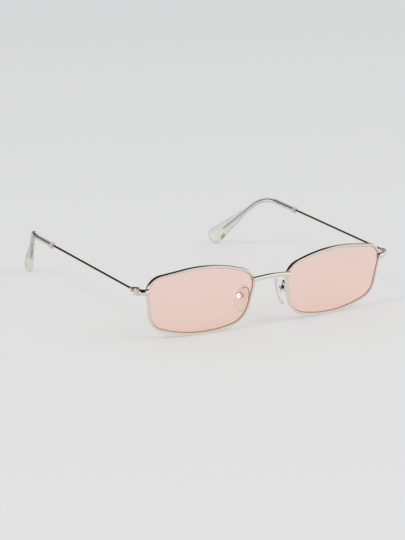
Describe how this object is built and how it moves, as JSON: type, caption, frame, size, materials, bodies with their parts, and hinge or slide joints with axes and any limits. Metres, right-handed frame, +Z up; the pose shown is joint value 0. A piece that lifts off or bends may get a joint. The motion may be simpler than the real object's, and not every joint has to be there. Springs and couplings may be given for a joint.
{
  "type": "wire-frame sunglasses",
  "caption": "Slim metal-wire sunglasses with soft rectangular tinted lenses, a bar bridge, rocking clear nose pads and folding temples with clear tips.",
  "frame": {"origin": "on the surface that the open frame stands on, under the middle of its bounding box", "axes": "+X to the wearer's left, +Y back along the temples, +Z up; the front faces -Y"},
  "size_m": [0.1332, 0.1418, 0.0323],
  "materials": {
    "polished_metal": "polished pale champagne-gold plated wire",
    "steel": "small turned screws and pad inserts",
    "tinted_lens": "clear pale pink tinted lens, smooth and glossy",
    "clear_tip": "clear colourless temple tip, polished",
    "clear_pad": "clear soft nose pad, glossy",
    "gold": "plain polished gold bar"
  },
  "bodies": {
    "front": {"bridge": "polished_metal", "left_rim": "polished_metal", "left_lens": "tinted_lens", "left_endpiece": "polished_metal", "left_closing_block": "polished_metal", "left_rim_screw": "steel", "left_front_hinge": "polished_metal", "left_hinge_screw": "steel", "left_pad_arm": "polished_metal", "left_pad_screw": "steel", "right_rim": "polished_metal", "right_lens": "tinted_lens", "right_endpiece": "polished_metal", "right_closing_block": "polished_metal", "right_rim_screw": "steel", "right_front_hinge": "polished_metal", "right_hinge_screw": "steel", "right_pad_arm": "polished_metal", "right_pad_screw": "steel"},
    "left_temple": {"left_temple_hinge": "polished_metal", "left_temple_wire": "polished_metal", "left_temple_tip": "clear_tip", "left_tip_mark": "gold"},
    "left_pad": {"left_nose_pad": "clear_pad", "left_pad_insert": "steel"},
    "right_temple": {"right_temple_hinge": "polished_metal", "right_temple_wire": "polished_metal", "right_temple_tip": "clear_tip", "right_tip_mark": "gold"},
    "right_pad": {"right_nose_pad": "clear_pad", "right_pad_insert": "steel"}
  },
  "joints": [
    {"name": "left_temple_fold", "type": "hinge", "parent": "front", "child": "left_temple", "pos_m": [0.06407, -0.06162, 0.0235], "axis": [0, -0.1097, 0.994], "range_deg": [0, 85]},
    {"name": "right_temple_fold", "type": "hinge", "parent": "front", "child": "right_temple", "pos_m": [-0.06407, -0.06162, 0.0235], "axis": [0, 0.1097, -0.994], "range_deg": [0, 80]},
    {"name": "left_pad_rock", "type": "hinge", "parent": "front", "child": "left_pad", "pos_m": [0.01122, -0.06047, 0.0138], "axis": [0.4248, 0.8965, 0.1258], "range_deg": [-8, 8]},
    {"name": "right_pad_rock", "type": "hinge", "parent": "front", "child": "right_pad", "pos_m": [-0.01122, -0.06047, 0.0138], "axis": [-0.4248, 0.8965, 0.1258], "range_deg": [-8, 8]}
  ]
}
